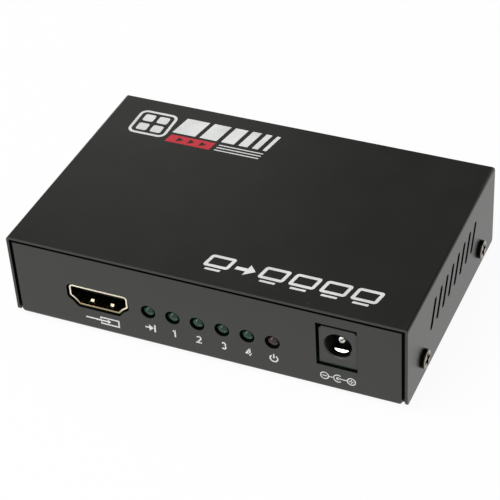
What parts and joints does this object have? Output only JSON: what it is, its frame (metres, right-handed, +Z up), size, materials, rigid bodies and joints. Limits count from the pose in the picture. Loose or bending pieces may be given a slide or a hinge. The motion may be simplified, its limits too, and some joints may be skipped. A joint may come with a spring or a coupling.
{
  "type": "video signal splitter",
  "caption": "Small black folded-steel splitter box: one video input and power jack in front, video outputs at the rear, status lamps, slotted cover sides and a circuit board inside.",
  "frame": {"origin": "midway between the four feet, on the surface that they stand on, which is the centre of the box's footprint", "axes": "+X to the right seen from the front (input socket towards power jack), +Y from the front panel to the rear panel, +Z up"},
  "size_m": [0.1006, 0.063, 0.0236],
  "materials": {
    "case_coating": "fine satin powder coat on folded steel",
    "screw_steel": "dark plated steel",
    "foot_rubber": "matte",
    "standoff_brass": "nickel-plated",
    "board_laminate": "glass-fibre laminate with a green solder mask",
    "jack_plastic": "matte black",
    "plated_contact": "tin- or nickel-plated",
    "socket_steel": "nickel-plated sheet",
    "socket_plastic": "moulded, black",
    "gold_contact": "gold-flashed",
    "green_lens": "tinted clear resin",
    "red_lens": "tinted clear resin",
    "package_plastic": "moulded epoxy",
    "pad_silicone": "soft grey",
    "sink_aluminium": "black anodised",
    "crystal_steel": "bright",
    "core_ferrite": "pressed ferrite",
    "capacitor_aluminium": "bright sleeve-free can",
    "ceramic_body": "sintered ceramic",
    "resistor_body": "glazed",
    "fuse_body": "moulded polymer"
  },
  "bodies": {
    "splitter": {"base_chassis": "case_coating", "top_cover": "case_coating", "cover_screws": "screw_steel", "rubber_feet": "foot_rubber", "board_standoffs": "standoff_brass", "board_screws": "crystal_steel", "main_board": "board_laminate", "power_jack_body": "jack_plastic", "power_jack_pin": "plated_contact", "power_jack_sleeve_terminal": "plated_contact", "power_jack_switch_contact": "plated_contact", "lamp_leads": "plated_contact", "splitter_chip": "package_plastic", "splitter_chip_leads": "plated_contact", "thermal_pad": "pad_silicone", "heat_sink": "sink_aluminium", "crystal_can": "crystal_steel", "control_chip": "package_plastic", "control_chip_leads": "plated_contact", "memory_chip": "package_plastic", "memory_chip_leads": "plated_contact", "power_inductor": "core_ferrite", "protection_diode": "package_plastic", "resettable_fuse": "fuse_body", "protection_arrays": "package_plastic", "chip_resistors": "resistor_body", "chip_ceramics": "ceramic_body", "voltage_regulators": "package_plastic", "regulator_leads": "plated_contact", "capacitor_bases": "package_plastic", "capacitor_cans": "capacitor_aluminium", "input_socket_shell": "socket_steel", "input_socket_insulator": "socket_plastic", "input_socket_contacts": "gold_contact", "output_1_socket_shell": "socket_steel", "output_1_socket_insulator": "socket_plastic", "output_1_socket_contacts": "gold_contact", "output_2_socket_shell": "socket_steel", "output_2_socket_insulator": "socket_plastic", "output_2_socket_contacts": "gold_contact", "output_3_socket_shell": "socket_steel", "output_3_socket_insulator": "socket_plastic", "output_3_socket_contacts": "gold_contact", "output_4_socket_shell": "socket_steel", "output_4_socket_insulator": "socket_plastic", "output_4_socket_contacts": "gold_contact", "input_lamp": "green_lens", "output_1_lamp": "green_lens", "output_2_lamp": "green_lens", "output_3_lamp": "green_lens", "output_4_lamp": "green_lens", "power_lamp": "red_lens"},
    "jack_leaf": {"power_jack_leaf": "plated_contact"}
  },
  "joints": [
    {"name": "leaf_flex", "type": "hinge", "parent": "splitter", "child": "jack_leaf", "pos_m": [0.03285, -0.0185, 0.00928], "axis": [1, 0, 0], "range_deg": [0, 4], "stiffness_Nm_per_rad": 0.2}
  ]
}
